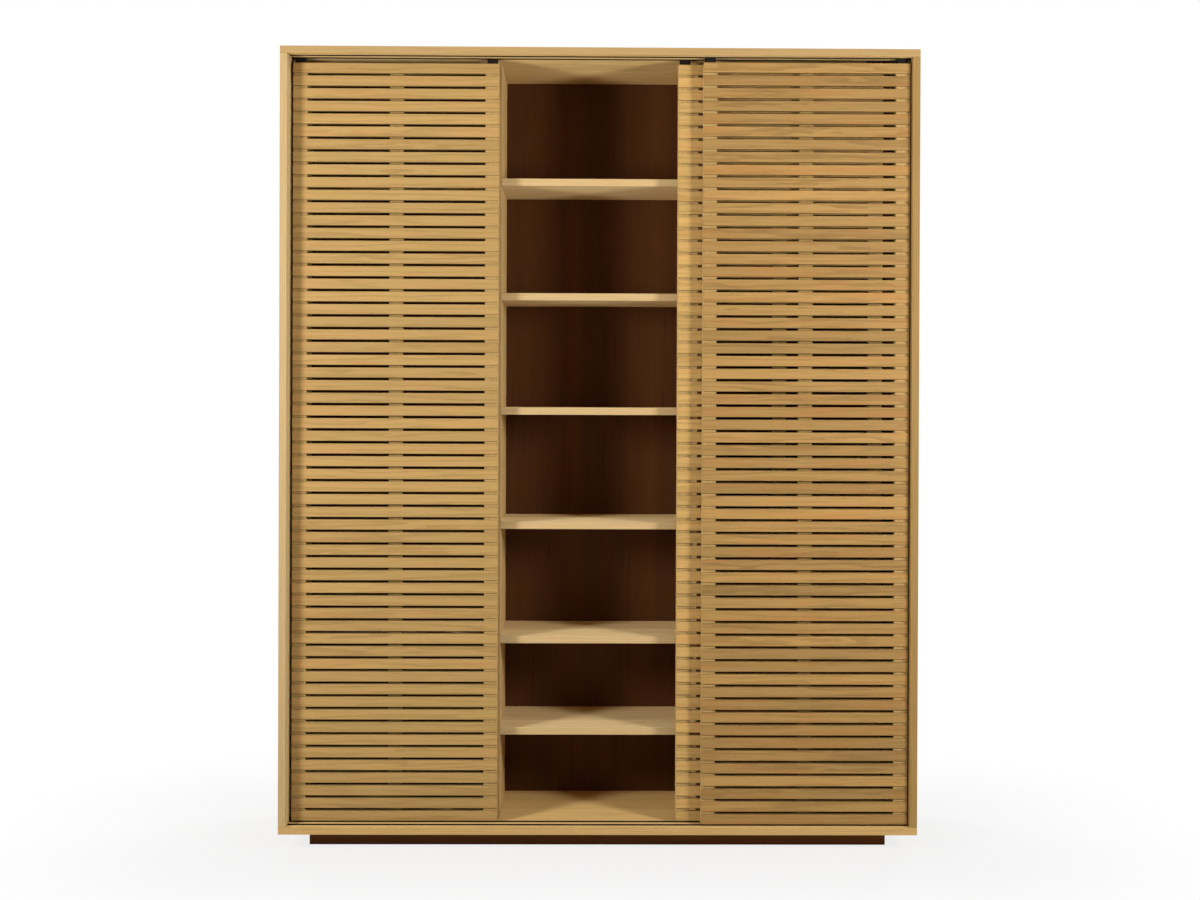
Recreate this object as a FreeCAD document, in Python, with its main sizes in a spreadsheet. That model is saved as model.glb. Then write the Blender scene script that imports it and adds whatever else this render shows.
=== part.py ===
"""Louvred door cabinet: an oak carcass in three bays behind three sliding louvre doors.

Millimetres. The origin is at the middle of the cabinet's footprint on the floor, +Z is up and the
front faces -Y. Heights on the carcass are counted from the top of the bottom board, depths from the
front edge of the boards, and each door from its own left, front, bottom corner.
"""

import FreeCAD, Part
import Sketcher
import os

doc = FreeCAD.newDocument("louvred_door_cabinet")

# ---------------------------------------------------------------------------------------------
# Driving sizes
# ---------------------------------------------------------------------------------------------

SIZES = {
    # carcass
    "overall_width": 1750,
    "overall_depth": 450,
    "overall_height": 2200,
    "board_thickness": 20,
    "partition_thickness": 20,
    "shelf_thickness": 20,
    # shelves: free height under the lowest one, its step to the next, and the drop from the ceiling
    "low_shelf_clearance": 233,
    "low_shelf_step": 256,
    "top_shelf_drop": 325,
    # joints of the boards
    "housing_depth": 5,
    "housing_stop": 12,
    "joint_gap": 0.1,
    "back_thickness": 6,
    "back_inset": 7,
    "back_groove_depth": 6,
    "tongue_thickness": 8,
    "tongue_length": 8,
    "tongue_stop": 15,
    # plinth
    "plinth_height": 46,
    "plinth_thickness": 20,
    "plinth_front_setback": 75,
    "plinth_side_setback": 75,
    "plinth_back_setback": 25,
    # tracks
    "track_width": 16,
    "upper_track_depth": 12,
    "lower_track_depth": 6,
    "liner_wall": 1.2,
    # doors
    "door_setback": 16,
    "door_thickness": 29,
    "door_pass_gap": 7,
    "door_bay_gap": 29,
    "door_side_play": 2,
    "door_floor_gap": 5,
    "door_ceiling_gap": 15.6,
    "slat_gap": 6.6,
    "slat_thickness": 12,
    "slat_edge": 1.2,
    "lap_thickness": 4.5,
    "shoulder_gap": 0.2,
    "stile_width": 38,
    "batten_width": 38,
    # where each door stands: its distance from the side board that it closes against
    "left_door_rest_gap": 7.5,
    "middle_door_rest_gap": 4.5,
    "right_door_rest_gap": 72,
    # running gear
    "roller_radius": 12,
    "roller_side_play": 1,
    "running_gap": 0.3,
    "axle_radius": 2,
    "axle_play": 0.08,
    "carriage_wall": 2,
    "carriage_gap": 0.6,
    "carriage_drop": 2,
    "guide_length": 30,
    "guide_corner": 3,
    "guide_play": 0.8,
    "guide_entry": 5,
    "guide_root": 12,
}
SLATS = 60  # slats in each door
EVEN_SHELVES = 5  # shelves of the middle bay that stand an equal step apart

sheet = doc.addObject("Spreadsheet::Sheet", "Sizes")
for row, (alias, value) in enumerate(SIZES.items(), start=1):
    sheet.set(f"A{row}", alias)
    sheet.set(f"B{row}", str(value))
    sheet.setAlias(f"B{row}", alias)
doc.recompute()


def size(alias):
    """The expression that reads one cell of the sheet."""
    return f"{sheet.Name}.{alias}"


def number(expression):
    """The present value of an expression."""
    return float(sheet.evalExpression(str(expression)))


# ---------------------------------------------------------------------------------------------
# Sizes that follow from the driving ones, as expressions
# ---------------------------------------------------------------------------------------------

JOINT_GAP = size("joint_gap")
FRONT = f"(-{size('overall_depth')} / 2)"
FLOOR = f"({size('plinth_height')} + {size('board_thickness')})"
CEILING = f"({size('overall_height')} - {size('board_thickness')})"
INNER_HEIGHT = f"({CEILING} - {FLOOR})"
INNER_WIDTH = f"({size('overall_width')} - 2 * {size('board_thickness')})"
BAY_PITCH = f"({INNER_WIDTH} / 3)"
MIDDLE_BAY_WIDTH = f"({BAY_PITCH} - {size('partition_thickness')})"
OUTER_BAY_WIDTH = f"({BAY_PITCH} - {size('partition_thickness')} / 2)"

DOOR_WIDTH = f"({BAY_PITCH} - {size('door_side_play')})"
DOOR_HEIGHT = f"({INNER_HEIGHT} - {size('door_floor_gap')} - {size('door_ceiling_gap')})"
DOOR_STEP = f"({size('door_thickness')} + {size('door_pass_gap')})"
STILE_THICKNESS = f"({size('door_thickness')} - {size('lap_thickness')})"
STILE_MIDDLE = f"({size('lap_thickness')} + {STILE_THICKNESS} / 2)"
SLAT_PITCH = f"(({DOOR_HEIGHT} + {size('slat_gap')}) / {SLATS})"
SLAT_HEIGHT = f"({SLAT_PITCH} - {size('slat_gap')})"

BAY_FRONT = f"({size('door_setback')} + {DOOR_STEP} + {size('door_thickness')} + {size('door_bay_gap')})"
BACK_FRONT = f"({size('overall_depth')} - {size('back_inset')} - {size('back_thickness')})"

TRACK_FRONT = f"({size('door_setback')} + {STILE_MIDDLE})"
CHANNEL_WIDTH = f"({size('track_width')} - 2 * {size('liner_wall')})"
ROLLER_WIDTH = f"({CHANNEL_WIDTH} - 2 * {size('roller_side_play')})"
CARRIAGE_WIDTH = f"({ROLLER_WIDTH} + 2 * ({size('carriage_gap')} + {size('carriage_wall')}))"
CARRIAGE_REACH = f"({size('roller_radius')} + {size('carriage_gap')} + {size('carriage_wall')})"
AXLE_HEIGHT = (
    f"({size('roller_radius')} + {size('running_gap')} + {size('liner_wall')}"
    f" - {size('lower_track_depth')} - {size('door_floor_gap')})"
)
CARRIAGE_TOP = f"({AXLE_HEIGHT} + {CARRIAGE_REACH})"
GUIDE_WIDTH = f"({CHANNEL_WIDTH} - 2 * {size('guide_play')})"
GEAR_SPAN = f"({DOOR_WIDTH} - {size('stile_width')})"  # between the gear of the two stiles

LOW_SHELF_TOP = f"({size('low_shelf_clearance')} + {size('shelf_thickness')})"
EVEN_SHELF_LOW = f"({LOW_SHELF_TOP} + {size('low_shelf_step')})"
EVEN_SHELF_HIGH = f"({INNER_HEIGHT} - {size('top_shelf_drop')})"
EVEN_STEP = f"(({EVEN_SHELF_HIGH} - {EVEN_SHELF_LOW}) / {EVEN_SHELVES - 1})"
MIDDLE_SHELF_TOPS = [f"({EVEN_SHELF_HIGH} - {step} * {EVEN_STEP})" for step in range(EVEN_SHELVES)]
MIDDLE_SHELF_TOPS.append(LOW_SHELF_TOP)
OUTER_SHELF_TOPS = MIDDLE_SHELF_TOPS[0:EVEN_SHELVES:2]

SIDE_MIDDLE = f"({INNER_WIDTH} / 2 + {size('board_thickness')} / 2)"
TONGUE_BACK = f"({size('overall_depth')} - {size('tongue_stop')})"

# ---------------------------------------------------------------------------------------------
# Ways of making a piece
# ---------------------------------------------------------------------------------------------

nodes = []  # the finished pieces, in the order they are made


def keep(piece, label, place):
    """Names a piece and ties its place to the sheet."""
    piece.Label = label
    for axis, expression in zip("xyz", place):
        piece.setExpression(f"Placement.Base.{axis}", str(expression))
    nodes.append(piece)


def block(label, corner, length, width, height):
    """A plain rectangular piece with its low corner at corner."""
    piece = doc.addObject("Part::Box", label)
    piece.setExpression("Length", length)
    piece.setExpression("Width", width)
    piece.setExpression("Height", height)
    keep(piece, label, corner)


def new_body(label):
    """An empty body that may hold several solids."""
    body = doc.addObject("PartDesign::Body", label)
    body.AllowCompound = True
    return body


def new_sketch(body, plane, offset="0"):
    """A sketch on one of the body's own planes, lifted along that plane's normal by offset."""
    sketch = body.newObject("Sketcher::SketchObject", f"{body.Name}_sketch")
    planes = {item.Role: item for item in body.Origin.OriginFeatures}
    sketch.AttachmentSupport = [(planes[plane], "")]
    sketch.MapMode = "FlatFace"
    sketch.setExpression("AttachmentOffset.Base.z", str(offset))
    return sketch


def fix_point(sketch, geometry, point, across, up):
    """Dimensions one point of a sketch from its origin."""
    for kind, expression in (("DistanceX", across), ("DistanceY", up)):
        constraint = Sketcher.Constraint(kind, -1, 1, geometry, point, number(expression))
        index = sketch.addConstraint(constraint)
        sketch.setExpression(f"Constraints[{index}]", str(expression))


def draw_outline(sketch, corners):
    """A closed outline of straight lines through corners, each a pair of expressions."""
    first = sketch.GeometryCount
    points = [FreeCAD.Vector(number(across), number(up), 0) for across, up in corners]
    for start, end in zip(points, points[1:] + points[:1]):
        sketch.addGeometry(Part.LineSegment(start, end), False)
    count = len(corners)
    for turn in range(count):
        following = first + (turn + 1) % count
        sketch.addConstraint(Sketcher.Constraint("Coincident", first + turn, 2, following, 1))
    for turn, (across, up) in enumerate(corners):
        fix_point(sketch, first + turn, 1, across, up)


def draw_rectangle(sketch, left, right, low, high):
    draw_outline(sketch, [(left, low), (right, low), (right, high), (left, high)])


def draw_slot(sketch, middle, half_width, low, high):
    """A rectangle about a middle line, grown all round by the joint gap."""
    half = f"({half_width} + {JOINT_GAP})"
    draw_rectangle(
        sketch,
        f"{middle} - {half}",
        f"{middle} + {half}",
        f"{low} - {JOINT_GAP}",
        f"{high} + {JOINT_GAP}",
    )


def draw_circle(sketch, across, up, radius):
    centre = FreeCAD.Vector(number(across), number(up), 0)
    circle = sketch.addGeometry(Part.Circle(centre, FreeCAD.Vector(0, 0, 1), number(radius)), False)
    index = sketch.addConstraint(Sketcher.Constraint("Radius", circle, number(radius)))
    sketch.setExpression(f"Constraints[{index}]", str(radius))
    fix_point(sketch, circle, 3, across, up)


def pad(sketch, length, backward=False):
    """Adds material along the sketch's normal, or against it where backward is true."""
    feature = sketch.getParentGeoFeatureGroup().newObject("PartDesign::Pad", f"{sketch.Name}_pad")
    feature.Profile = sketch
    feature.Reversed = backward
    feature.setExpression("Length", str(length))
    doc.recompute()
    return feature


def pocket(sketch, depth, forward=False):
    """Cuts against the sketch's normal, or along it where forward is true."""
    body = sketch.getParentGeoFeatureGroup()
    volume_before = body.Shape.Volume
    feature = body.newObject("PartDesign::Pocket", f"{sketch.Name}_pocket")
    feature.Profile = sketch
    feature.Reversed = forward
    feature.setExpression("Length", str(depth))
    doc.recompute()
    if not feature.Shape.Volume < volume_before:
        raise RuntimeError(f"{feature.Name} cuts nothing")
    return feature


def repeat(features, axis, step, count):
    """Repeats features along one of the body's axes."""
    body = features[0].getParentGeoFeatureGroup()
    pattern = body.newObject("PartDesign::LinearPattern", f"{features[0].Name}_pattern")
    axes = {item.Role: item for item in body.Origin.OriginFeatures}
    pattern.Originals = features
    pattern.Direction = (axes[axis], [""])
    pattern.Mode = "Spacing"
    pattern.setExpression("Offset", str(step))
    pattern.Occurrences = count
    body.Tip = pattern
    doc.recompute()
    return pattern


# ---------------------------------------------------------------------------------------------
# Carcass
# ---------------------------------------------------------------------------------------------


def make_end_board(label, is_top):
    """The top or bottom board. Its worked face lies on the body's XY plane, the front edge on X."""
    body = new_body(label)
    half_width = f"({size('overall_width')} / 2)"
    half_inner = f"({INNER_WIDTH} / 2)"

    outline = new_sketch(body, "XY_Plane")
    draw_rectangle(outline, f"-{half_width}", half_width, "0", size("overall_depth"))
    pad(outline, size("board_thickness"), backward=not is_top)

    tracks = new_sketch(body, "XY_Plane")
    for turn in range(2):
        middle = f"({TRACK_FRONT} + {turn} * {DOOR_STEP})"
        half_track = f"{size('track_width')} / 2"
        draw_rectangle(
            tracks, f"-{half_inner}", half_inner, f"{middle} - {half_track}", f"{middle} + {half_track}"
        )
    depth = size("upper_track_depth") if is_top else size("lower_track_depth")
    pocket(tracks, depth, forward=is_top)

    back_groove = new_sketch(body, "XY_Plane")
    reach = f"({half_inner} + {size('back_groove_depth')})"
    draw_rectangle(
        back_groove,
        f"-{reach}",
        reach,
        f"{BACK_FRONT} - {JOINT_GAP}",
        f"{BACK_FRONT} + {size('back_thickness')} + {JOINT_GAP}",
    )
    pocket(back_groove, size("back_groove_depth"), forward=is_top)

    housings = new_sketch(body, "XY_Plane")
    half_housing = f"({size('partition_thickness')} / 2 + {JOINT_GAP})"
    for side in (-1, 1):
        middle = f"{side} * {BAY_PITCH} / 2"
        draw_rectangle(
            housings,
            f"{middle} - {half_housing}",
            f"{middle} + {half_housing}",
            f"{BAY_FRONT} - {JOINT_GAP}",
            BACK_FRONT,
        )
    pocket(housings, size("housing_depth"), forward=is_top)

    mortises = new_sketch(body, "XY_Plane")
    half_tongue = f"{size('tongue_thickness')} / 2"
    for side in (-1, 1):
        middle = f"{side} * {SIDE_MIDDLE}"
        draw_slot(mortises, middle, half_tongue, size("tongue_stop"), TONGUE_BACK)
    pocket(mortises, f"{size('tongue_length')} + {JOINT_GAP}", forward=is_top)
    keep(body, label, ("0", FRONT, CEILING if is_top else FLOOR))


def draw_shelf_housings(sketch, tops):
    """Stopped housings on a sketch whose axes run back and up."""
    for top in tops:
        draw_rectangle(
            sketch,
            f"{BAY_FRONT} + {size('housing_stop')}",
            BACK_FRONT,
            f"{top} - {size('shelf_thickness')} - {JOINT_GAP}",
            f"{top} + {JOINT_GAP}",
        )


def make_side(label, outward):
    """A side board with a tongue at each end.

    Its inner face lies on the body's YZ plane, and outward is -1 or +1 along X.
    """
    body = new_body(label)
    on_right = outward > 0

    outline = new_sketch(body, "YZ_Plane")
    draw_rectangle(outline, "0", size("overall_depth"), "0", INNER_HEIGHT)
    pad(outline, size("board_thickness"), backward=not on_right)

    tongues = new_sketch(body, "XY_Plane", f"-{size('tongue_length')}")
    middle = f"{outward} * {size('board_thickness')} / 2"
    half_tongue = f"{size('tongue_thickness')} / 2"
    draw_rectangle(
        tongues,
        f"{middle} - {half_tongue}",
        f"{middle} + {half_tongue}",
        size("tongue_stop"),
        TONGUE_BACK,
    )
    pad(tongues, f"{INNER_HEIGHT} + 2 * {size('tongue_length')}")

    housings = new_sketch(body, "YZ_Plane")
    draw_shelf_housings(housings, OUTER_SHELF_TOPS)
    pocket(housings, size("housing_depth"), forward=on_right)

    back_groove = new_sketch(body, "YZ_Plane")
    draw_rectangle(
        back_groove,
        f"{BACK_FRONT} - {JOINT_GAP}",
        f"{BACK_FRONT} + {size('back_thickness')} + {JOINT_GAP}",
        "0",
        INNER_HEIGHT,
    )
    pocket(back_groove, size("back_groove_depth"), forward=on_right)
    keep(body, label, (f"{outward} * {INNER_WIDTH} / 2", FRONT, FLOOR))


def make_partition(label, side):
    """A partition, let into the top and bottom boards and housed on both faces for the shelves."""
    body = new_body(label)
    let_in = f"({size('housing_depth')} - {JOINT_GAP})"

    outline = new_sketch(body, "YZ_Plane")
    draw_rectangle(outline, BAY_FRONT, BACK_FRONT, f"-{let_in}", f"{INNER_HEIGHT} + {let_in}")
    pad(outline, size("partition_thickness"))

    left_tops = OUTER_SHELF_TOPS if side < 0 else MIDDLE_SHELF_TOPS
    right_tops = MIDDLE_SHELF_TOPS if side < 0 else OUTER_SHELF_TOPS
    left_housings = new_sketch(body, "YZ_Plane")
    draw_shelf_housings(left_housings, left_tops)
    pocket(left_housings, size("housing_depth"), forward=True)
    right_housings = new_sketch(body, "YZ_Plane", size("partition_thickness"))
    draw_shelf_housings(right_housings, right_tops)
    pocket(right_housings, size("housing_depth"))
    left_face = f"{side} * {BAY_PITCH} / 2 - {size('partition_thickness')} / 2"
    keep(body, label, (left_face, FRONT, FLOOR))


def make_shelf(label, bay_middle, bay_width, top):
    """A shelf with ears at both ends that fill the stopped housings."""
    body = new_body(label)
    half_bay = f"({bay_width} / 2)"
    half_ears = f"({half_bay} + {size('housing_depth')} - {JOINT_GAP})"
    ear_front = f"({BAY_FRONT} + {size('housing_stop')} + {JOINT_GAP})"
    outline = new_sketch(body, "XY_Plane")
    draw_outline(
        outline,
        [
            (f"-{half_bay}", BAY_FRONT),
            (half_bay, BAY_FRONT),
            (half_bay, ear_front),
            (half_ears, ear_front),
            (half_ears, BACK_FRONT),
            (f"-{half_ears}", BACK_FRONT),
            (f"-{half_ears}", ear_front),
            (f"-{half_bay}", ear_front),
        ],
    )
    pad(outline, size("shelf_thickness"))
    keep(body, label, (bay_middle, FRONT, f"{FLOOR} + {top} - {size('shelf_thickness')}"))


def make_back_panels():
    """Three panels that meet behind the partitions and stand in the grooves all round."""
    let_in = f"({size('back_groove_depth')} - {JOINT_GAP})"
    outer_width = f"{BAY_PITCH} + {let_in}"
    half_inner = f"{INNER_WIDTH} / 2"
    panels = (
        ("left_back_panel", f"-{half_inner} - {let_in}", outer_width),
        ("middle_back_panel", f"-{BAY_PITCH} / 2", BAY_PITCH),
        ("right_back_panel", f"{BAY_PITCH} / 2", outer_width),
    )
    for label, left, width in panels:
        corner = (left, f"{FRONT} + {BACK_FRONT}", f"{FLOOR} - {let_in}")
        block(label, corner, width, size("back_thickness"), f"{INNER_HEIGHT} + 2 * {let_in}")


def make_liner(label, turn, is_upper):
    """A dark channel let into a track groove, open towards the doors."""
    body = new_body(label)
    half_track = f"({size('track_width')} / 2)"
    half_channel = f"({CHANNEL_WIDTH} / 2)"
    depth = size("upper_track_depth") if is_upper else size("lower_track_depth")
    into = "" if is_upper else "-"
    web = f"({depth} - {size('liner_wall')})"
    half_length = f"({INNER_WIDTH} / 2)"

    section = new_sketch(body, "YZ_Plane", f"-{half_length}")
    draw_outline(
        section,
        [
            (f"-{half_track}", "0"),
            (f"-{half_channel}", "0"),
            (f"-{half_channel}", f"{into}{web}"),
            (half_channel, f"{into}{web}"),
            (half_channel, "0"),
            (half_track, "0"),
            (half_track, f"{into}{depth}"),
            (f"-{half_track}", f"{into}{depth}"),
        ],
    )
    pad(section, f"2 * {half_length}")
    track_middle = f"{FRONT} + {TRACK_FRONT} + {turn} * {DOOR_STEP}"
    keep(body, label, ("0", track_middle, CEILING if is_upper else FLOOR))


def make_plinth():
    """A recessed frame of four rails with a bearer under each partition."""
    thickness = size("plinth_thickness")
    height = size("plinth_height")
    left = f"(-{size('overall_width')} / 2 + {size('plinth_side_setback')})"
    length = f"({size('overall_width')} - 2 * {size('plinth_side_setback')})"
    front = f"({FRONT} + {size('plinth_front_setback')})"
    back = f"(-{FRONT} - {size('plinth_back_setback')})"
    between = f"({back} - {front} - 2 * {thickness})"
    behind_front = f"{front} + {thickness}"

    block("plinth_front_rail", (left, front, "0"), length, thickness, height)
    block("plinth_back_rail", (left, f"{back} - {thickness}", "0"), length, thickness, height)
    block("plinth_left_rail", (left, behind_front, "0"), thickness, between, height)
    right = f"-{left} - {thickness}"
    block("plinth_right_rail", (right, behind_front, "0"), thickness, between, height)

    bearers = new_body("plinth_bearers")
    plan = new_sketch(bearers, "XY_Plane")
    for side in (-1, 1):
        middle = f"{side} * {BAY_PITCH} / 2"
        draw_rectangle(plan, f"{middle} - {thickness} / 2", f"{middle} + {thickness} / 2", "0", between)
    pad(plan, height)
    keep(bearers, "plinth_bearers", ("0", behind_front, "0"))


# ---------------------------------------------------------------------------------------------
# Doors
# ---------------------------------------------------------------------------------------------


def place_in_door(door, across="0", back="0", up="0"):
    """The place in the cabinet of a point of a door."""
    door_y = f"{FRONT} + {size('door_setback')} + {door['step']} * {DOOR_STEP}"
    door_z = f"{FLOOR} + {size('door_floor_gap')}"
    return (f"{door['left']} + {across}", f"{door_y} + {back}", f"{door_z} + {up}")


def make_slats(door):
    """The louvre: slats that lap over both stiles, their front edges eased."""
    body = new_body(f"{door['name']}_slats")
    thickness = size("slat_thickness")
    edge = size("slat_edge")

    section = new_sketch(body, "YZ_Plane")
    draw_outline(
        section,
        [
            (edge, "0"),
            (thickness, "0"),
            (thickness, SLAT_HEIGHT),
            (edge, SLAT_HEIGHT),
            ("0", f"{SLAT_HEIGHT} - {edge}"),
            ("0", edge),
        ],
    )
    slat = pad(section, DOOR_WIDTH)
    repeat([slat], "Z_Axis", SLAT_PITCH, SLATS)

    rebates = new_sketch(body, "XY_Plane")
    shoulder = f"({size('stile_width')} + {size('shoulder_gap')})"
    for left, right in (("0", shoulder), (f"{DOOR_WIDTH} - {shoulder}", DOOR_WIDTH)):
        draw_rectangle(rebates, left, right, size("lap_thickness"), thickness)
    pocket(rebates, DOOR_HEIGHT, forward=True)
    keep(body, f"{door['name']}_slats", place_in_door(door))


def draw_guide(sketch, margin):
    """The plan of an upper guide about the middle of a stile, its corners cut, grown by margin."""
    middle = f"({size('stile_width')} / 2)"
    half_length = f"({size('guide_length')} / 2 + {margin})"
    half_width = f"({GUIDE_WIDTH} / 2 + {margin})"
    short_length = f"({half_length} - {size('guide_corner')})"
    short_width = f"({half_width} - {size('guide_corner')})"
    corners = []
    for across, back in ((1, 1), (-1, 1), (-1, -1), (1, -1)):
        long_side = (f"{middle} + {across} * {short_length}", f"{STILE_MIDDLE} + {back} * {half_width}")
        short_side = (f"{middle} + {across} * {half_length}", f"{STILE_MIDDLE} + {back} * {short_width}")
        corners += [short_side, long_side] if across == back else [long_side, short_side]
    draw_outline(sketch, corners)


def make_stile(door, which):
    """A stile, mortised at its foot for the roller carriage and at its head for the upper guide."""
    label = f"{door['name']}_{which}_stile"
    body = new_body(label)
    middle = f"({size('stile_width')} / 2)"

    plan = new_sketch(body, "XY_Plane")
    draw_rectangle(plan, "0", size("stile_width"), size("lap_thickness"), size("door_thickness"))
    pad(plan, DOOR_HEIGHT)

    foot = new_sketch(body, "XY_Plane")
    half_length = f"({CARRIAGE_REACH} + {JOINT_GAP})"
    half_width = f"({CARRIAGE_WIDTH} / 2 + {JOINT_GAP})"
    draw_rectangle(
        foot,
        f"{middle} - {half_length}",
        f"{middle} + {half_length}",
        f"{STILE_MIDDLE} - {half_width}",
        f"{STILE_MIDDLE} + {half_width}",
    )
    pocket(foot, f"{CARRIAGE_TOP} + {JOINT_GAP}", forward=True)

    head = new_sketch(body, "XY_Plane", DOOR_HEIGHT)
    draw_guide(head, JOINT_GAP)
    pocket(head, f"{size('guide_root')} + {JOINT_GAP}")
    across = "0" if which == "left" else GEAR_SPAN
    keep(body, label, place_in_door(door, across))


def make_batten(door):
    """The batten that ties the slats together behind their middle."""
    across = f"({DOOR_WIDTH} - {size('batten_width')}) / 2"
    thickness = f"{size('door_thickness')} - {size('slat_thickness')}"
    corner = place_in_door(door, across, size("slat_thickness"))
    block(f"{door['name']}_batten", corner, size("batten_width"), thickness, DOOR_HEIGHT)


def make_guides(door):
    """Two upper guides, rooted in the stiles and standing up into the upper channel."""
    label = f"{door['name']}_upper_guides"
    body = new_body(label)
    plan = new_sketch(body, "XY_Plane", f"-{size('guide_root')}")
    draw_guide(plan, "0")
    length = f"{size('guide_root')} + {size('door_ceiling_gap')} + {size('guide_entry')}"
    repeat([pad(plan, length)], "X_Axis", GEAR_SPAN, 2)
    keep(body, label, place_in_door(door, up=DOOR_HEIGHT))


def make_carriages(door):
    """Two roller carriages: boxes open below, their back cheeks drilled for the axle."""
    label = f"{door['name']}_roller_carriages"
    body = new_body(label)
    middle = f"({size('stile_width')} / 2)"
    drop = f"-{size('carriage_drop')}"

    plan = new_sketch(body, "XY_Plane", drop)
    draw_rectangle(
        plan,
        f"{middle} - {CARRIAGE_REACH}",
        f"{middle} + {CARRIAGE_REACH}",
        f"-{CARRIAGE_WIDTH} / 2",
        f"{CARRIAGE_WIDTH} / 2",
    )
    shell = pad(plan, f"{CARRIAGE_TOP} + {size('carriage_drop')}")

    inside = new_sketch(body, "XY_Plane", drop)
    wall = size("carriage_wall")
    draw_rectangle(
        inside,
        f"{middle} - {CARRIAGE_REACH} + {wall}",
        f"{middle} + {CARRIAGE_REACH} - {wall}",
        f"{wall} - {CARRIAGE_WIDTH} / 2",
        f"{CARRIAGE_WIDTH} / 2 - {wall}",
    )
    hollow = pocket(inside, f"{CARRIAGE_TOP} + {size('carriage_drop')} - {wall}", forward=True)

    drilling = new_sketch(body, "XZ_Plane", f"-{CARRIAGE_WIDTH} / 2")
    draw_circle(drilling, middle, AXLE_HEIGHT, size("axle_radius"))
    bore = pocket(drilling, wall, forward=True)
    repeat([shell, hollow, bore], "X_Axis", GEAR_SPAN, 2)
    keep(body, label, place_in_door(door, back=STILE_MIDDLE))


def make_axles(door):
    """Two steel axles, pressed into the back cheeks and ending just behind the front ones."""
    label = f"{door['name']}_axles"
    body = new_body(label)
    end = new_sketch(body, "XZ_Plane", f"-{CARRIAGE_WIDTH} / 2")
    draw_circle(end, "0", "0", size("axle_radius"))
    length = f"{CARRIAGE_WIDTH} - {size('carriage_wall')} - {JOINT_GAP}"
    repeat([pad(end, length)], "X_Axis", GEAR_SPAN, 2)
    keep(body, label, place_in_door(door, f"{size('stile_width')} / 2", STILE_MIDDLE, AXLE_HEIGHT))


def make_roller(door, which):
    """A roller, turned about its own axis and bored with a little play on its axle."""
    label = f"{door['name']}_{which}_roller"
    body = new_body(label)
    half_width = f"({ROLLER_WIDTH} / 2)"
    bore = f"({size('axle_radius')} + {size('axle_play')})"

    half_section = new_sketch(body, "YZ_Plane")
    draw_rectangle(half_section, f"-{half_width}", half_width, bore, size("roller_radius"))
    turning = body.newObject("PartDesign::Revolution", f"{label}_turning")
    turning.Profile = half_section
    turning.ReferenceAxis = (half_section, ["H_Axis"])
    turning.Angle = 360
    doc.recompute()
    across = f"{size('stile_width')} / 2"
    if which == "right":
        across = f"{across} + {GEAR_SPAN}"
    keep(body, label, place_in_door(door, across, STILE_MIDDLE, AXLE_HEIGHT))


# ---------------------------------------------------------------------------------------------
# The cabinet
# ---------------------------------------------------------------------------------------------

make_end_board("top_board", is_top=True)
make_end_board("bottom_board", is_top=False)
make_side("left_side", -1)
make_side("right_side", 1)
make_partition("left_partition", -1)
make_partition("right_partition", 1)
make_back_panels()
for index, top in enumerate(MIDDLE_SHELF_TOPS, start=1):
    make_shelf(f"middle_shelf_{index}", "0", MIDDLE_BAY_WIDTH, top)
for side_name, side in (("left", -1), ("right", 1)):
    bay_middle = f"{side} * ({INNER_WIDTH} - {OUTER_BAY_WIDTH}) / 2"
    for index, top in enumerate(OUTER_SHELF_TOPS, start=1):
        make_shelf(f"{side_name}_shelf_{index}", bay_middle, OUTER_BAY_WIDTH, top)
make_liner("upper_front_channel", 0, is_upper=True)
make_liner("upper_rear_channel", 1, is_upper=True)
make_liner("lower_front_channel", 0, is_upper=False)
make_liner("lower_rear_channel", 1, is_upper=False)
make_plinth()

RIGHT_STOP = f"({INNER_WIDTH} / 2 - {DOOR_WIDTH})"
DOORS = (
    {"name": "left_door", "step": 1, "left": f"({size('left_door_rest_gap')} - {INNER_WIDTH} / 2)"},
    {"name": "middle_door", "step": 0, "left": f"({RIGHT_STOP} - {size('middle_door_rest_gap')})"},
    {"name": "right_door", "step": 1, "left": f"({RIGHT_STOP} - {size('right_door_rest_gap')})"},
)
for door in DOORS:
    make_slats(door)
    make_stile(door, "left")
    make_stile(door, "right")
    make_batten(door)
    make_guides(door)
    make_carriages(door)
    make_axles(door)
    make_roller(door, "left")
    make_roller(door, "right")

# ---------------------------------------------------------------------------------------------
# Checks and files
# ---------------------------------------------------------------------------------------------

doc.recompute()
for item in doc.Objects:
    if "Invalid" in item.State or "Error" in item.State:
        raise RuntimeError(f"{item.Label} failed: {item.State}")
for piece in nodes:
    if piece.Shape.isNull() or not piece.Shape.isValid():
        raise RuntimeError(f"{piece.Label} has no valid shape")

os.makedirs("parts", exist_ok=True)
for piece in nodes:
    piece.Shape.exportStep(f"parts/{piece.Label}.step")
    print(f"{piece.Label}: {len(piece.Shape.Solids)} solids, {piece.Shape.Volume / 1000:.1f} cm3")
print(f"{len(nodes)} pieces written")
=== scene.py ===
# %% [markdown]
# # A louvred door cabinet in oak
#
# This lesson dresses a finished CAD model of a tall cupboard. The CAD gives every board, slat, track and
# roller its size and place. Here they get their timber, their eased edges, a studio and a camera.
# The first cell loads that model. Its parts are fixed, so nothing below moves one: a part is only given a
# finish, and modifiers that soften its edges.

# %% Load the cabinet
import math

import bpy
from mathutils import Matrix, Vector


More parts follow.
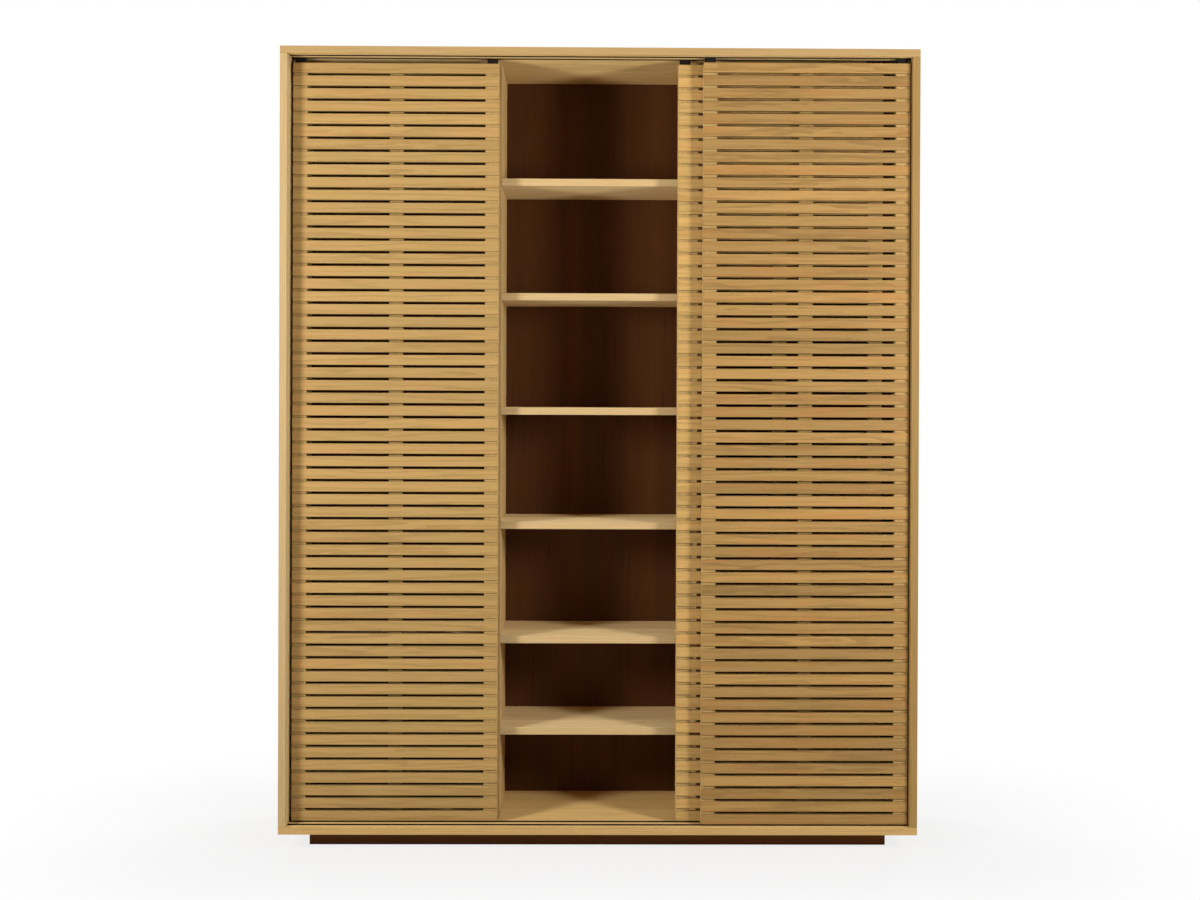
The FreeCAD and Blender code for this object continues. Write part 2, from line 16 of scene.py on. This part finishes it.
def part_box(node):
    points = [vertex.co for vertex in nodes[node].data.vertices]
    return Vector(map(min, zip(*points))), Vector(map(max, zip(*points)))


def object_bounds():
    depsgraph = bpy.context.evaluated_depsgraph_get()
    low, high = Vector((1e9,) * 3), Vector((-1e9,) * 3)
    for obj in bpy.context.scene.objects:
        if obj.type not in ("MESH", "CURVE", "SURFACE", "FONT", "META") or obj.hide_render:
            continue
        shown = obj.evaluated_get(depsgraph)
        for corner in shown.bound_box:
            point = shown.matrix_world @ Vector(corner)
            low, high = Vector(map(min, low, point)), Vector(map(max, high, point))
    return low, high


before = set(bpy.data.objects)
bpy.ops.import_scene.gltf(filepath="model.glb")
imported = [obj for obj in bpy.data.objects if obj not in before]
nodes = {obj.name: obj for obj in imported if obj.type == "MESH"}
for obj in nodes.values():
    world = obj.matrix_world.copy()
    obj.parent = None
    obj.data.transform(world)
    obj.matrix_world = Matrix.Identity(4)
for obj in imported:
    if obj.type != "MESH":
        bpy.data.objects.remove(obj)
cad_low, cad_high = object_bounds()
print(f"{len(nodes)} parts, {[round(v, 3) for v in cad_high - cad_low]} m")

# %% [markdown]
# ## The camera
#
# The cabinet is seen from straight ahead, from about a person's eye height and five metres away, so its
# uprights stay nearly parallel. A short lens close by would show more of the shelves and bend the outline.
# A hand-held camera is never quite level, so it also has a small turn, a small tilt and a small roll.
# They are set as a product of plain rotations, because that keeps each one readable by itself. The shift
# slides the picture on the sensor, which centres the cabinet without tilting the camera any further.

# %% Place the camera
SENSOR_WIDTH = 36.0
CAMERA_PLACE = Vector((-0.0474, -4.8483, 1.241))
CAMERA_LENS = 50.74
CAMERA_TURN = math.radians(0.601)
CAMERA_TILT = math.radians(-0.31)
CAMERA_ROLL = math.radians(0.215)
CAMERA_SHIFT_UP = -0.0353

camera_data = bpy.data.cameras.new("camera")
camera_data.lens = CAMERA_LENS
camera_data.sensor_width = SENSOR_WIDTH
camera_data.shift_y = CAMERA_SHIFT_UP
camera = bpy.data.objects.new("camera", camera_data)
bpy.context.scene.collection.objects.link(camera)
camera.matrix_world = (
    Matrix.Translation(CAMERA_PLACE)
    @ Matrix.Rotation(-CAMERA_TURN, 4, "Z")
    @ Matrix.Rotation(math.pi / 2 + CAMERA_TILT, 4, "X")
    @ Matrix.Rotation(CAMERA_ROLL, 4, "Z")
)
bpy.context.scene.camera = camera
print(f"camera {CAMERA_LENS} mm, {CAMERA_PLACE.length:.2f} m from the origin")

# %% [markdown]
# ## Writing shader maths as Python
#
# A wood finish is a page of arithmetic: distances, waves, masks. Wiring that by hand hides the formula, so
# a small class wraps one output of a node and overloads the operators. `1 - mask` then adds a Subtract
# node. Numbers go through Math nodes, vectors through Vector Math, and colours are blended by a Mix node,
# because a Math node would turn them grey. Every other node comes from one method, `node`.


# %% A socket that does arithmetic
class Signal:
    """One output of a node, used in Python expressions."""

    def __init__(self, page, output):
        self.page = page
        self.output = output

    def beside(self, name):
        """Another output of the same node."""
        return Signal(self.page, self.output.node.outputs[name])

    def combine(self, operation, left, right):
        """Adds the node that does an operation on numbers, or on vectors where either side is one."""
        vectors = [is_vector(left), is_vector(right)]
        if not any(vectors):
            return self.page.node("ShaderNodeMath", {"operation": operation}, {0: left, 1: right})
        if operation == "MULTIPLY" and not all(vectors):
            vector, scale = (left, right) if vectors[0] else (right, left)
            inputs = {0: vector, "Scale": scale}
            return self.page.node("ShaderNodeVectorMath", {"operation": "SCALE"}, inputs)
        return self.page.node("ShaderNodeVectorMath", {"operation": operation}, {0: left, 1: right})

    def __add__(self, other):
        return self.combine("ADD", self, other)

    def __radd__(self, other):
        return self.combine("ADD", other, self)

    def __sub__(self, other):
        return self.combine("SUBTRACT", self, other)

    def __rsub__(self, other):
        return self.combine("SUBTRACT", other, self)

    def __mul__(self, other):
        return self.combine("MULTIPLY", self, other)

    def __rmul__(self, other):
        return self.combine("MULTIPLY", other, self)

    def __truediv__(self, other):
        return self.combine("DIVIDE", self, other)

    def __rtruediv__(self, other):
        return self.combine("DIVIDE", other, self)


def is_vector(side):
    """Whether one side of an operation has three numbers."""
    return isinstance(side, Vector) or isinstance(side, Signal) and side.output.type == "VECTOR"


print("signals ready")

# %% [markdown]
# The second class is the page those expressions are written on: a node tree with one method that adds any
# node. Settings such as an operation are set first, because some of them change which sockets the node
# has. Its other methods only name the few nodes that are needed again and again.


# %% A page of nodes
class Nodes:
    """A node tree, emptied, with short ways to add what a finish needs."""

    def __init__(self, tree):
        self.tree = tree
        self.tree.nodes.clear()

    def node(self, kind, settings=None, inputs=None, output=0):
        """Adds a node, sets its settings, then fills its sockets, and gives back one of its outputs."""
        made = self.tree.nodes.new(kind)
        for name, value in (settings or {}).items():
            setattr(made, name, value)
        for name, value in (inputs or {}).items():
            if isinstance(value, Signal):
                self.tree.links.new(value.output, made.inputs[name])
            else:
                made.inputs[name].default_value = value
        return Signal(self, made.outputs[output]) if made.outputs else made

    def function(self, operation, value, *others):
        """A Math node that is no plain operator, such as a floor or an absolute value."""
        return self.node("ShaderNodeMath", {"operation": operation}, dict(enumerate((value, *others))))

    def vector(self, x, y, z):
        """Three numbers as one vector."""
        return self.node("ShaderNodeCombineXYZ", {}, {"X": x, "Y": y, "Z": z})

    def length(self, vector):
        """How long a vector is."""
        return self.node("ShaderNodeVectorMath", {"operation": "LENGTH"}, {0: vector}, "Value")

    def here(self):
        """The place of the point being shaded, which stays with its part when the part moves."""
        return self.node("ShaderNodeTexCoord", output="Object")

    def noise(self, place, scale, detail=2.0, roughness=0.5):
        """Cloudy noise, about 0.5 on average."""
        inputs = {"Vector": place, "Scale": scale, "Detail": detail, "Roughness": roughness}
        return self.node("ShaderNodeTexNoise", {"noise_dimensions": "3D"}, inputs, "Fac")

    def between(self, value, low, high):
        """Runs smoothly from 0 to 1 as value goes from low to high."""
        inputs = {"Value": value, "From Min": low, "From Max": high}
        return self.node("ShaderNodeMapRange", {"interpolation_type": "SMOOTHSTEP"}, inputs)

    def blend(self, share, first, second, way="MIX"):
        """A mix of two colours, each a Signal or three numbers. The node's colours are sockets 6 and 7."""
        colours = [item if isinstance(item, Signal) else (*item, 1.0) for item in (first, second)]
        settings = {"data_type": "RGBA", "blend_type": way}
        return self.node("ShaderNodeMix", settings, {"Factor": share, 6: colours[0], 7: colours[1]}, 2)

    def tinted(self, colour, strength):
        """A colour made lighter or darker by a number, with its hue kept."""
        grey = self.vector(strength, strength, strength)
        return self.blend(1.0, colour, grey, "MULTIPLY")

    def bump(self, height, strength, depth):
        """A normal that leans as if the surface rose and fell with height, by depth metres."""
        inputs = {"Strength": strength, "Distance": depth, "Height": height}
        return self.node("ShaderNodeBump", {}, inputs, "Normal")

    def finish(self, inputs):
        """Ends the page: a Principled surface with these inputs, and the material's output."""
        surface = self.node("ShaderNodeBsdfPrincipled", {}, inputs)
        self.node("ShaderNodeOutputMaterial", {}, {"Surface": surface})


def new_material(name):
    """A material and its empty page of nodes."""
    material = bpy.data.materials.new(name)
    material.use_nodes = True
    return material, Nodes(material.node_tree)


print("pages ready")

# %% [markdown]
# ## Oak
#
# Oak shows five things at five scales. Growth rings, a few millimetres apart, run along the board and close
# into arches where the saw met them at a slant. Soft streaks follow the grain between them. Open pores
# make short dark dashes in the spring wood. Slow clouds turn the colour olive in one place and rosy in
# another. And each stave of a panel comes from another part of the tree, so its tone differs from its
# neighbour's.
#
# A flat picture could not follow a board round its edges, so the finish is a solid one. It places a trunk
# beside every stave and cuts the board out of it, from the object's own coordinates. The sizes below are
# in metres. A stretch is how fast a noise changes along the grain and across it: the further apart the two
# numbers, the longer the streaks.

# %% Sizes of the grain
RING_SPACING = 0.0052
RING_SHAKE = 0.011
PITH_NEAR = 0.012
PITH_SPREAD = 0.10
PITH_WANDER = 0.05
PITH_WANDER_SCALE = 1.6

RING_STRETCH = (3.0, 34.0)
STREAK_STRETCH = (1.6, 45.0)
CLOUD_STRETCH = (6.0, 75.0)
PORE_STRETCH = (60.0, 1500.0)
PATCH_LENGTHWISE = 2.5
print(f"rings every {RING_SPACING * 1000:.1f} mm")

# %% [markdown]
# A stave's number comes from where it lies across the panel. White noise turns that number into three
# chances, the same at every point of the stave and different in the next. They move the stave along the
# trunk and set how far off the pith is. Python's own random numbers would give one value for the whole
# material, so the chances have to be made by nodes.


# %% A point in its stave
SEED_STRIDE = 17.31
STAVE_SHIFT = 7.0


class Stave:
    """Where a point lies in its stave: along, side (from its middle) and through, with three chances."""

    def __init__(self, page, grain, across, width, start, seed):
        self.page = page
        self.seed = seed
        axes = page.node("ShaderNodeSeparateXYZ", {}, {"Vector": page.here()})
        depth = next(axis for axis in "XYZ" if axis not in (grain, across))
        self.number = page.function("FLOOR", (axes.beside(across) - start) / width)
        drawn = {"W": self.number + seed * SEED_STRIDE}
        chance = page.node("ShaderNodeTexWhiteNoise", {"noise_dimensions": "1D"}, drawn, "Color")
        parted = page.node("ShaderNodeSeparateColor", {}, {"Color": chance})
        self.chances = [parted.beside(index) for index in range(3)]
        self.along = axes.beside(grain) + self.chances[0] * STAVE_SHIFT
        self.side = axes.beside(across) - (self.number + 0.5) * width - start
        self.through = axes.beside(depth)

    def stretched(self, stretch, shift=0.0):
        """A place for noise that is drawn out along the grain."""
        lengthwise, crosswise = stretch
        sideways = self.side * crosswise + shift
        return self.page.vector(self.along * lengthwise, sideways, self.through * crosswise)


print("staves ready")

# %% [markdown]
# The rings are the distance to the trunk's pith, shaken by noise that is stretched along the grain. The
# pith wanders to the side on its way up the tree, which closes the rings into arches. In each ring the
# porous spring wood fades in slowly and ends at once, where the winter stopped the growth.
#
# Fibres that are cut across drink more finish, so a board's ends are darker than its faces. The normal
# tells them apart: on an end it points along the grain.


# %% Rings and ends
def rings_of(page, stave):
    """1 in the spring wood of each growth ring, and 0 between."""
    _, second, third = stave.chances
    wander_place = page.vector(stave.along, stave.number * 3.1, stave.seed)
    wander = page.noise(wander_place, PITH_WANDER_SCALE, 2.0)
    pith_side = (second - 0.5) * PITH_SPREAD + (wander - 0.5) * PITH_WANDER
    pith_depth = PITH_NEAR + third * PITH_SPREAD * 0.5
    radius = page.length(page.vector(stave.side - pith_side, stave.through + pith_depth, 0.0))
    broad = page.noise(stave.stretched(RING_STRETCH, second * 40.0), 1.0, 3.0, 0.6)
    ring = page.function("FRACT", (radius + (broad - 0.5) * RING_SHAKE) / RING_SPACING)
    return page.between(ring, 0.55, 0.95) * (1 - page.between(ring, 0.95, 1.0))


def ends_of(page, grain):
    """1 on a face that was cut across the grain, and 0 on the others."""
    normal = page.node("ShaderNodeTexCoord", output="Normal")
    facing = page.node("ShaderNodeSeparateXYZ", {}, {"Vector": normal})
    return page.between(page.function("ABSOLUTE", facing.beside(grain)), 0.6, 0.9)


print("rings and ends ready")

# %% [markdown]
# The finish puts these on one page. It starts from a pale colour, goes darker in the spring wood and the
# streaks, and takes some olive and some rosy colour from the clouds. Last, the whole is made lighter or
# darker, by stave, patch, pore and end. On the slats, a thin band of painted shade also darkens the edges
# of each slot, so that the slots look darker and wider.

# %% The oak finish
OLIVE_SHIFT = (0.95, 0.985, 0.86)
PORES_DARKER = 0.22
ENDS_DARKER = 0.35
# Painted shade along the edges of each slot between slats: how much darker, and how wide.
SLOT_SHADE_DARKER = 0.6
SLOT_SHADE_WIDTH = 0.0014


def oak_finish(name, grain, across, width, start, seed, tones, spread, warm, gap=None):
    """Solid oak. grain and across are the axes of the fibres and of the staves.

    width is a stave's width, start the coordinate where the first one begins, tones the pale, the
    dark and the rosy colour, spread how much the staves differ, and warm how much olive and rosy
    colour they take. gap is the slot between two slats, with a band of painted shade beside it.
    """
    light, dark, rosy = tones
    olive = tuple(level * shift for level, shift in zip(light, OLIVE_SHIFT))
    material, page = new_material(name)
    stave = Stave(page, grain, across, width, start, seed)
    first, second, third = stave.chances

    spring_wood = rings_of(page, stave)
    streak = page.noise(stave.stretched(STREAK_STRETCH, first * 9.0), 4.0, 4.0, 0.62)
    dashes = page.noise(stave.stretched(PORE_STRETCH), 1.0, 1.0)
    pores = page.between(dashes, 0.60, 0.74) * (0.35 + spring_wood * 0.65)
    patch_place = page.vector(stave.along * PATCH_LENGTHWISE, stave.number * 5.7 + seed, 0.0)
    patch = page.noise(patch_place, 1.0, 2.0)
    cloud = page.noise(stave.stretched(CLOUD_STRETCH, third * 30.0), 1.0, 2.0, 0.55)

    ring_tone = page.blend(spring_wood * 0.55, light, dark)
    streaked = page.blend(page.between(streak, 0.42, 0.78) * 0.6, ring_tone, dark)
    greenish = page.between(1 - cloud * 0.6 - patch * 0.2 - second * 0.2, 0.52, 0.76) * warm
    greened = page.blend(greenish, streaked, olive)
    warmth = page.between(cloud * 0.6 + patch * 0.25 + first * 0.15, 0.48, 0.68) * warm
    warmed = page.blend(warmth, greened, rosy)

    tone = 1 + (third - 0.5) * spread + (patch - 0.5) * spread * 0.8 + (cloud - 0.5) * 0.12
    shade = (1 - pores * PORES_DARKER) * (1 - ends_of(page, grain) * ENDS_DARKER)
    # Painted shade: a thin darker band along each slot's edges, standing in for the shade inside the slot.
    if gap:
        edge = (width - gap) / 2
        from_middle = page.function("ABSOLUTE", stave.side)
        painted_slot_shade = page.between(from_middle, edge - SLOT_SHADE_WIDTH, edge)
        shade = shade * (1 - painted_slot_shade * SLOT_SHADE_DARKER)

    page.finish(
        {
            "Base Color": page.tinted(warmed, tone * shade),
            "Roughness": 0.46 + streak * 0.16 + pores * 0.2,
            "Normal": page.bump(streak * 0.35 - spring_wood * 0.25 - pores * 0.9, 0.22, 0.0004),
            "Diffuse Roughness": 0.8,
            "Specular IOR Level": 0.25,
        }
    )
    return material


print("oak finish ready")

# %% [markdown]
# Now the boards. The carcass and the shelves are panels glued from staves about 90 mm wide, and their
# fibres run along their length. The foot board, the shelves and the left side are of paler planks than the
# rest, and the right side is of deeper ones. A door's stiles are painted paler, as painted light against
# the shade of their shallow recess behind the slats, and its batten darker, as painted shade in its deeper
# one.
# The slats are one stave each, so the stave's width is the slats' pitch and its start is the middle of a
# gap, which puts the change of timber in the gap. The left door's slats are calm, the middle door's are
# livelier and golden, and the right door's are the palest.

# %% Measure the slats
SLATS = 60
door_low, door_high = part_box("left_door_slats")
slat_gap = 0.0066
slat_pitch = (door_high.z - door_low.z + slat_gap) / SLATS
slat_start = door_low.z - slat_gap / 2
print(f"slats every {slat_pitch * 1000:.2f} mm from {slat_start:.4f} m")

# %% Choose the tones: pale, dark and rosy
BOARD_OAK = ((0.72, 0.490, 0.205), (0.55, 0.345, 0.125), (0.68, 0.400, 0.150))
FOOT_OAK = ((0.86, 0.580, 0.225), (0.66, 0.410, 0.140), (0.82, 0.480, 0.170))
SHELF_OAK = ((0.86, 0.640, 0.320), (0.68, 0.460, 0.195), (0.80, 0.520, 0.230))
LEFT_SIDE_OAK = ((0.78, 0.585, 0.285), (0.61, 0.415, 0.175), (0.72, 0.475, 0.210))
RIGHT_SIDE_OAK = ((0.57, 0.355, 0.112), (0.41, 0.230, 0.062), (0.54, 0.285, 0.084))
# The stiles are painted lighter against the shade of their shallow recess; the batten is painted darker, as
# painted shade.
STILE_OAK_PAINTED_LIGHT = ((0.74, 0.500, 0.185), (0.60, 0.385, 0.130), (0.70, 0.455, 0.165))
BATTEN_OAK_PAINTED_SHADE = ((0.55, 0.355, 0.110), (0.40, 0.245, 0.068), (0.52, 0.320, 0.095))
CALM_OAK = ((0.69, 0.450, 0.158), (0.50, 0.297, 0.089), (0.68, 0.387, 0.129))
GOLD_OAK = ((0.612, 0.369, 0.119), (0.38, 0.205, 0.054), (0.59, 0.296, 0.083))
PALE_OAK = ((0.80, 0.530, 0.183), (0.58, 0.352, 0.103), (0.78, 0.440, 0.146))
print("ten timbers chosen")

# %% Make the oak finishes
PANEL_STAVE = 0.09
FRAME_STAVE = 0.038


def panel_oak(name, grain, seed, tones, spread, warm):
    """The oak of a wide board, glued from staves that lie side by side from front to back."""
    return oak_finish(name, grain, "Y", PANEL_STAVE, 0.0, seed, tones, spread, warm)


def frame_oak(name, seed, tones, spread, warm):
    """The oak of an upright in a door."""
    return oak_finish(name, "Z", "X", FRAME_STAVE, 0.0, seed, tones, spread, warm)


def slat_oak(name, seed, tones, spread, warm):
    """The oak of a door's slats, a stave each."""
    return oak_finish(name, "X", "Z", slat_pitch, slat_start, seed, tones, spread, warm, slat_gap)


top_board = panel_oak("oak_along", "X", 3, BOARD_OAK, 0.08, 0.4)
foot_board = panel_oak("oak_foot", "X", 4, FOOT_OAK, 0.08, 0.4)
shelf_boards = panel_oak("oak_shelf", "X", 8, SHELF_OAK, 0.06, 0.3)
left_side = panel_oak("oak_left_side", "Z", 5, LEFT_SIDE_OAK, 0.08, 0.3)
right_side = panel_oak("oak_right_side", "Z", 6, RIGHT_SIDE_OAK, 0.10, 0.4)
partitions = panel_oak("oak_partition", "Z", 7, BOARD_OAK, 0.08, 0.4)
stiles = frame_oak("oak_stile_painted_light", 11, STILE_OAK_PAINTED_LIGHT, 0.06, 0.2)
battens = frame_oak("oak_batten_painted_shade", 12, BATTEN_OAK_PAINTED_SHADE, 0.06, 0.3)
left_slats = slat_oak("oak_left_slats", 21, CALM_OAK, 0.10, 0.6)
middle_slats = slat_oak("oak_middle_slats", 34, GOLD_OAK, 0.26, 0.8)
right_slats = slat_oak("oak_right_slats", 55, PALE_OAK, 0.14, 0.5)
print("oak finishes made")

# %% [markdown]
# ## The dark parts
#
# The plinth and the back panels are stained a dark brown. Stain sinks into the pores, so the grain shows
# as darker threads and not as arches. One finish makes both: threads stretched along the fibres over a
# slow change of tone, which is the same noise at about an eighth of the scale.

# %% The stained finish
THREADS_ALONG = 3.0
THREADS_ACROSS = 110.0
SLOW_SHARE = 0.12


def stained_finish(name, grain, colour, threads, roughness):
    """Dark stained wood with fine threads along the grain."""
    material, page = new_material(name)
    here = page.here()
    scales = Vector([THREADS_ALONG if axis == grain else THREADS_ACROSS for axis in "XYZ"])
    fibre = page.noise(here * scales, 1.0, 4.0, 0.6)
    slow = page.noise(here * (scales * SLOW_SHARE), 1.0, 2.0)
    tone = 0.70 + (slow - 0.5) * 0.9 + fibre * 0.6
    threaded = page.blend(page.between(fibre, 0.5, 0.75) * 0.6, colour, threads)
    page.finish(
        {
            "Base Color": page.tinted(threaded, tone),
            "Roughness": roughness + (fibre - 0.5) * 0.2,
            "Normal": page.bump(fibre * 0.6, 0.25, 0.0003),
            "Specular IOR Level": 0.15,
        }
    )
    return material


BACK_STAIN = ((0.115, 0.040, 0.009), (0.050, 0.016, 0.004))
PLINTH_STAIN = ((0.170, 0.060, 0.012), (0.080, 0.026, 0.006))
back_wood = stained_finish("stained_back", "Z", *BACK_STAIN, 0.62)
plinth_along = stained_finish("stained_plinth", "X", *PLINTH_STAIN, 0.55)
plinth_across = stained_finish("stained_plinth_side", "Y", *PLINTH_STAIN, 0.55)
print("stained finishes made")

# %% [markdown]
# ## Plastic and steel
#
# The channels, guides and roller carriages are moulded in dark plastic, and the rollers in grey nylon.
# Moulded parts have a fine even texture from the mould and are polished where something runs on them. The
# axles are ground steel, with marks round them. Cheap flat colours would do at this size, but from
# below the running gear is in full view.


# %% Finishes of the running gear
def moulded_finish(name, colour, roughness, grain_size):
    """Moulded plastic: a fine even texture, with cloudy polish over it."""
    material, page = new_material(name)
    here = page.here()
    texture = page.noise(here, 1.0 / grain_size, 2.0)
    polish = page.noise(here, 25.0, 3.0)
    page.finish(
        {
            "Base Color": page.tinted(colour, 0.85 + polish * 0.3),
            "Roughness": roughness + (polish - 0.5) * 0.25,
            "Normal": page.bump(texture, 0.15, 0.0001),
            "Specular IOR Level": 0.15,
        }
    )
    return material


STEEL = (0.56, 0.57, 0.58)
STEEL_IN_MARKS = (0.42, 0.42, 0.43)
MARKS_ROUND_Y = Vector((40.0, 5000.0, 40.0))


def ground_finish(name):
    """Ground steel with fine marks round its axis, which lies along Y."""
    material, page = new_material(name)
    marks = page.noise(page.here() * MARKS_ROUND_Y, 1.0, 2.0)
    page.finish(
        {
            "Base Color": page.blend(marks, STEEL, STEEL_IN_MARKS),
            "Roughness": 0.25 + marks * 0.2,
            "Metallic": 1.0,
        }
    )
    return material


dark_plastic = moulded_finish("dark_plastic", (0.014, 0.009, 0.006), 0.6, 0.0006)
grey_nylon = moulded_finish("grey_nylon", (0.10, 0.09, 0.08), 0.45, 0.0008)
ground_steel = ground_finish("ground_steel")
print("running gear finishes made")

# %% [markdown]
# ## Dressing the parts
#
# Each part keeps its CAD mesh and gets a finish in its first material slot. The rule for which finish goes
# where is a cutting list: the first entry whose words are in the part's name gives its finish. The order
# counts, since a roller's carriage is plastic and has the word roller in its name too.

# %% The cutting list
CUTTING_LIST = {
    "top_board": top_board,
    "bottom_board": foot_board,
    "left_side": left_side,
    "right_side": right_side,
    "partition": partitions,
    "shelf": shelf_boards,
    "back_panel": back_wood,
    "plinth_front_rail": plinth_along,
    "plinth_back_rail": plinth_along,
    "plinth": plinth_across,
    "left_door_slats": left_slats,
    "middle_door_slats": middle_slats,
    "right_door_slats": right_slats,
    "stile": stiles,
    "batten": battens,
    "channel": dark_plastic,
    "guides": dark_plastic,
    "carriages": dark_plastic,
    "roller": grey_nylon,
    "axles": ground_steel,
}

for name, part in nodes.items():
    part.data.materials.clear()
    part.data.materials.append(next(CUTTING_LIST[words] for words in CUTTING_LIST if words in name))
print(f"{len(nodes)} parts dressed")

# %% [markdown]
# ## Eased edges
#
# No real board has a knife edge: the maker passes sandpaper over it. A small rounding catches a line of
# light, and without it a render looks cut from paper. The faces of the CAD mesh aren't joined to each
# other, so one modifier welds them, and the next rounds the edges that are sharp. Dissolving the flat
# triangles first would make neater faces, but a face with a groove through it then folds over itself.

# %% Round the sharp edges
SHARP = math.radians(30)
WELD_REACH = 1e-5
EASED_SEGMENTS = 2
EASED = {"slats": 0.0008, "stile": 0.0008, "batten": 0.0008, "guides": 0.0012, "roller": 0.0012}
BOARD_EASED = 0.0007
NOT_EASED = ("axles", "carriages", "channel")


def ease_edges(part, width):
    """Modifiers that give a part's sharp edges a small round."""
    weld = part.modifiers.new("weld", "WELD")
    weld.merge_threshold = WELD_REACH
    easing = part.modifiers.new("easing", "BEVEL")
    easing.width = width
    easing.segments = EASED_SEGMENTS
    easing.limit_method = "ANGLE"
    easing.angle_limit = SHARP
    easing.miter_outer = "MITER_ARC"


for name, part in nodes.items():
    if not name.endswith(NOT_EASED):
        ending = name.split("_")[-1]
        ease_edges(part, EASED.get(ending, BOARD_EASED))
print("edges eased")

# %% [markdown]
# ## The studio
#
# Two softboxes stand 48 degrees to the left and right, well above the middle shelf. Each one reaches the
# open bay past the far edge of the doors, so a shelf is bright in front, and the two shadows meet in a dark
# wedge behind. A weak one hangs over the front. The pale floor throws some of their light up to the
# undersides. Two more stand behind the cabinet and one hangs above it, so that it can be looked at from
# anywhere. One big lamp in front would be simpler, but it would leave the bay flat and without shadows.

# %% Softboxes
LIT_POINT = Vector((0.0, -0.15, 1.60))
LAMP_DISTANCE = 2.8


def around(azimuth):
    """A place on the circle of lamps. Azimuth 0 is straight ahead of the doors."""
    angle = math.radians(azimuth)
    return LIT_POINT + LAMP_DISTANCE * Vector((math.sin(angle), -math.cos(angle), 0.0))


# Each lamp's place, width and height in metres, and power in watts.
SOFTBOXES = {
    "softbox_left": (around(-48), 0.5, 0.7, 40),
    "softbox_right": (around(48), 0.5, 0.7, 40),
    "softbox_over_front": (Vector((0.0, -1.5, 3.4)), 1.2, 0.5, 12),
    "softbox_back_left": (around(-140), 0.62, 1.5, 32),
    "softbox_back_right": (around(140), 0.62, 1.5, 32),
    "softbox_above": (Vector((0.0, 0.9, 4.4)), 1.6, 0.8, 60),
}

for name, (place, width, height, power) in SOFTBOXES.items():
    data = bpy.data.lights.new(name, "AREA")
    data.shape = "RECTANGLE"
    data.size = width
    data.size_y = height
    data.energy = power
    lamp = bpy.data.objects.new(name, data)
    lamp.location = place
    lamp.rotation_mode = "QUATERNION"
    lamp.rotation_quaternion = (LIT_POINT - place).to_track_quat("-Z", "Y")
    lamp.visible_camera = False
    bpy.context.scene.collection.objects.link(lamp)
print(f"{len(SOFTBOXES)} softboxes")

# %% [markdown]
# A white background must not light the cabinet more, or pale wood would wash out. So the world is white
# only for rays that look at it, which come from the camera, off a shiny surface or through a clear one.
# For all others it is black, and the light comes from the lamps alone.

# %% A white world
WHITE = (1.0, 1.0, 1.0, 1.0)


def looking(page):
    """1 for a ray that looks at the background, and 0 for one that carries light to the cabinet."""
    rays = page.node("ShaderNodeLightPath", output="Is Camera Ray")
    every_way = rays + rays.beside("Is Glossy Ray") + rays.beside("Is Transmission Ray")
    return page.function("MINIMUM", every_way, 1.0)


world = bpy.data.worlds.new("studio")
world.use_nodes = True
bpy.context.scene.world = world
sky = Nodes(world.node_tree)
background = sky.node("ShaderNodeBackground", {}, {"Color": WHITE, "Strength": looking(sky)})
sky.node("ShaderNodeOutputWorld", {}, {"Surface": background})
print("world ready")

# %% [markdown]
# The floor is pale paint that takes the cabinet's shadow and throws light back up. For rays that look at
# it, it also glows white: fully from a metre away, so that it melts into the background, and a little less
# beside the cabinet, so that the shadow stays to be seen. The weaker glow there also darkens the floor
# round the cabinet where no shadow falls, as a faint painted shade.

# %% The floor
FLOOR_SIDE = 60.0
FLOOR_PAINT = (0.7, 0.7, 0.69, 1.0)
GLOW_BESIDE = 0.82
GLOW_FULL_AT = 1.0

half = FLOOR_SIDE / 2
corners = [(-half, -half, 0), (half, -half, 0), (half, half, 0), (-half, half, 0)]
floor_mesh = bpy.data.meshes.new("floor")
floor_mesh.from_pydata(corners, [], [(0, 1, 2, 3)])
floor = bpy.data.objects.new("floor", floor_mesh)
bpy.context.scene.collection.objects.link(floor)

floor_material, page = new_material("pale_floor")
aside = page.node("ShaderNodeVectorMath", {"operation": "ABSOLUTE"}, {0: page.here()})
past = aside - Vector((cad_high.x, cad_high.y, 0.0))
beyond = page.node("ShaderNodeVectorMath", {"operation": "MAXIMUM"}, {0: past, 1: (0.0, 0.0, 0.0)})
fade = page.between(page.length(beyond), 0.0, GLOW_FULL_AT)
# Less glow beside the cabinet: a faint painted shade round its foot, on top of the real shadow.
share = looking(page) * (GLOW_BESIDE + fade * (1 - GLOW_BESIDE))
paint = page.node("ShaderNodeBsdfDiffuse", {}, {"Color": FLOOR_PAINT})
glow = page.node("ShaderNodeEmission", {}, {"Color": WHITE, "Strength": 1.0})
surface = page.node("ShaderNodeMixShader", {}, {0: share, 1: paint, 2: glow})
page.node("ShaderNodeOutputMaterial", {}, {"Surface": surface})
floor.data.materials.append(floor_material)
print("floor ready")

# %% [markdown]
# The picture is shown as it is worked out, with the plain view. A filmic view would soften the bright
# floor, and it would also grey the white and dull the oak.

# %% Colour management
bpy.context.scene.view_settings.view_transform = "Standard"
print("plain colours")
